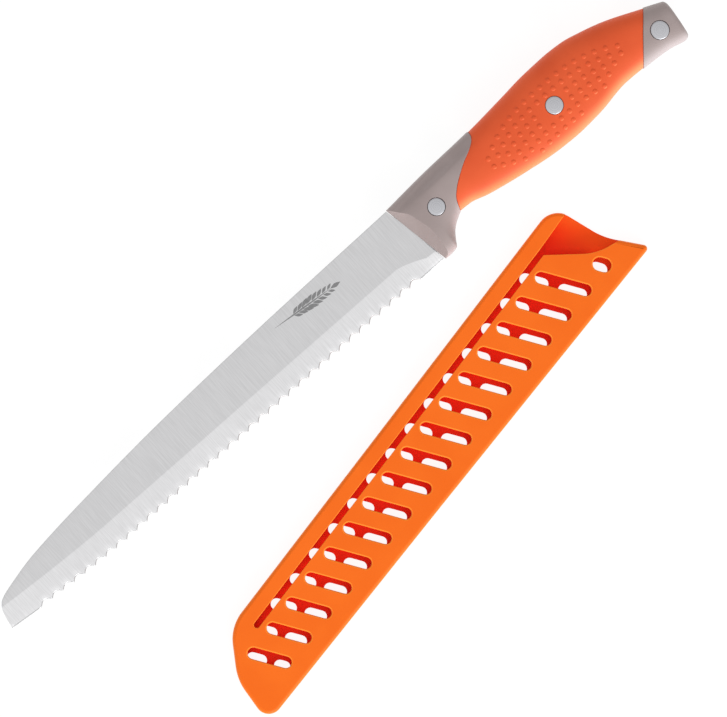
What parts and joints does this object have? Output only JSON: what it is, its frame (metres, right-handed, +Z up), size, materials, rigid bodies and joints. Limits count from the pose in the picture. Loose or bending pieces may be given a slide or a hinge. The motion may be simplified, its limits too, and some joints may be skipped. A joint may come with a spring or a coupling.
{
  "type": "bread knife",
  "caption": "Serrated bread knife with a riveted two-colour moulded handle, lying beside its slotted slide-on blade cover.",
  "frame": {"origin": "on the table, below the middle of the whole part's box", "axes": "+X along the blade from tip to butt, +Y towards the spine, +Z up from the table"},
  "size_m": [0.3304, 0.1148, 0.0184],
  "materials": {
    "blade_steel": "satin stainless steel, ground across the blade, brighter on the bevel",
    "rivet_steel": "turned stainless steel with fine concentric marks",
    "grey_plastic": "fine satin moulded plastic, warm grey",
    "core_plastic": "plain moulded plastic, hidden under the grip",
    "orange_rubber": "soft matt thermoplastic rubber with raised dots",
    "orange_plastic": "slightly translucent satin polypropylene"
  },
  "bodies": {
    "knife": {"blade": "blade_steel", "bolster": "grey_plastic", "grip": "orange_rubber", "grip_core_upper": "core_plastic", "grip_core_lower": "core_plastic", "end_cap": "grey_plastic", "front_rivet_stud": "rivet_steel", "front_rivet_socket": "rivet_steel", "middle_rivet_stud": "rivet_steel", "middle_rivet_socket": "rivet_steel", "rear_rivet_stud": "rivet_steel", "rear_rivet_socket": "rivet_steel"},
    "cover": {"cover_front": "orange_plastic", "cover_back": "orange_plastic"}
  },
  "joints": [
    {"name": "cover_slide", "type": "slide", "parent": "knife", "child": "cover", "axis": [-0.984, -0.1779, 0], "range_m": [0, 0.21]}
  ]
}
